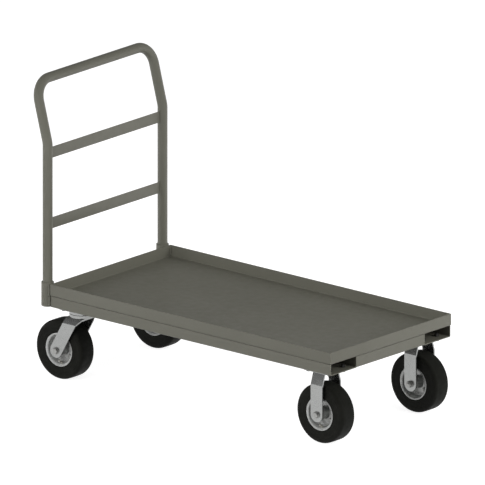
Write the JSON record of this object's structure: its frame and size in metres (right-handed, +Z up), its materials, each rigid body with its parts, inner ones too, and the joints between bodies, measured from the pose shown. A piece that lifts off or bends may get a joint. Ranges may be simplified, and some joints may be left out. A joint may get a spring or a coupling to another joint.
{
  "type": "platform truck",
  "caption": "Steel platform truck: lipped sheet deck on channels, lift-out tubular handle with flat crossbars, rigid and swivel casters with pneumatic wheels.",
  "frame": {"origin": "on the floor under the middle of the whole truck, midway along and across its box", "axes": "+X along the truck to the leading end with the rigid casters, +Y to the left for someone at the handle, +Z up"},
  "size_m": [1.3412, 0.6224, 1.0299],
  "materials": {
    "gray_paint": "semi-matt powder coat, slightly olive gray, fine texture",
    "zinc_plate": "bright zinc plate, satin",
    "zinc_fasteners": "zinc-plated bolts and nuts",
    "bearing_steel": "plain bright steel, lightly greased",
    "valve_brass": "nickel-washed brass",
    "tyre_rubber": "smooth black rubber, satin",
    "tube_rubber": "matt black butyl"
  },
  "bodies": {
    "frame": {"deck_tray": "gray_paint", "left_side_channel": "gray_paint", "right_side_channel": "gray_paint", "front_cross_channel": "gray_paint", "front_middle_cross_channel": "gray_paint", "rear_middle_cross_channel": "gray_paint", "rear_cross_channel": "gray_paint", "left_handle_socket": "gray_paint", "right_handle_socket": "gray_paint", "socket_stop_plates": "gray_paint", "caster_mount_bolts": "zinc_fasteners", "caster_mount_nuts": "zinc_fasteners", "front_left_top_plate": "zinc_plate", "front_left_fork": "zinc_plate", "front_left_axle_bolt": "zinc_fasteners", "front_left_spacer": "zinc_plate", "front_right_top_plate": "zinc_plate", "front_right_fork": "zinc_plate", "front_right_axle_bolt": "zinc_fasteners", "front_right_spacer": "zinc_plate", "rear_left_top_plate": "zinc_plate", "rear_left_kingpin": "bearing_steel", "rear_right_top_plate": "zinc_plate", "rear_right_kingpin": "bearing_steel"},
    "handle": {"handle_tube": "gray_paint", "upper_crossbar": "gray_paint", "lower_crossbar": "gray_paint"},
    "rear_left_swivel": {"rear_left_race_balls": "bearing_steel", "rear_left_fork": "zinc_plate", "rear_left_axle_bolt": "zinc_fasteners", "rear_left_spacer": "zinc_plate"},
    "rear_right_swivel": {"rear_right_race_balls": "bearing_steel", "rear_right_fork": "zinc_plate", "rear_right_axle_bolt": "zinc_fasteners", "rear_right_spacer": "zinc_plate"},
    "front_left_wheel": {"front_left_tyre": "tyre_rubber", "front_left_inner_tube": "tube_rubber", "front_left_rim_halves": "zinc_plate", "front_left_bearings": "bearing_steel", "front_left_rim_bolts": "zinc_fasteners", "front_left_valve": "valve_brass"},
    "front_right_wheel": {"front_right_tyre": "tyre_rubber", "front_right_inner_tube": "tube_rubber", "front_right_rim_halves": "zinc_plate", "front_right_bearings": "bearing_steel", "front_right_rim_bolts": "zinc_fasteners", "front_right_valve": "valve_brass"},
    "rear_left_wheel": {"rear_left_tyre": "tyre_rubber", "rear_left_inner_tube": "tube_rubber", "rear_left_rim_halves": "zinc_plate", "rear_left_bearings": "bearing_steel", "rear_left_rim_bolts": "zinc_fasteners", "rear_left_valve": "valve_brass"},
    "rear_right_wheel": {"rear_right_tyre": "tyre_rubber", "rear_right_inner_tube": "tube_rubber", "rear_right_rim_halves": "zinc_plate", "rear_right_bearings": "bearing_steel", "rear_right_rim_bolts": "zinc_fasteners", "rear_right_valve": "valve_brass"}
  },
  "joints": [
    {"name": "handle_lift", "type": "slide", "parent": "frame", "child": "handle", "axis": [0, 0, 1], "range_m": [0, 0.1]},
    {"name": "rear_left_swivel_turn", "type": "hinge", "parent": "frame", "child": "rear_left_swivel", "pos_m": [-0.499, 0.2366, 0.254], "axis": [0, 0, 1], "continuous": true},
    {"name": "rear_right_swivel_turn", "type": "hinge", "parent": "frame", "child": "rear_right_swivel", "pos_m": [-0.499, -0.2366, 0.254], "axis": [0, 0, 1], "continuous": true},
    {"name": "front_left_wheel_spin", "type": "hinge", "parent": "frame", "child": "front_left_wheel", "pos_m": [0.569, 0.2366, 0.1016], "axis": [0, 1, 0], "continuous": true},
    {"name": "front_right_wheel_spin", "type": "hinge", "parent": "frame", "child": "front_right_wheel", "pos_m": [0.569, -0.2366, 0.1016], "axis": [0, 1, 0], "continuous": true},
    {"name": "rear_left_wheel_spin", "type": "hinge", "parent": "rear_left_swivel", "child": "rear_left_wheel", "pos_m": [-0.569, 0.2366, 0.1016], "axis": [0, 1, 0], "continuous": true},
    {"name": "rear_right_wheel_spin", "type": "hinge", "parent": "rear_right_swivel", "child": "rear_right_wheel", "pos_m": [-0.569, -0.2366, 0.1016], "axis": [0, 1, 0], "continuous": true}
  ]
}
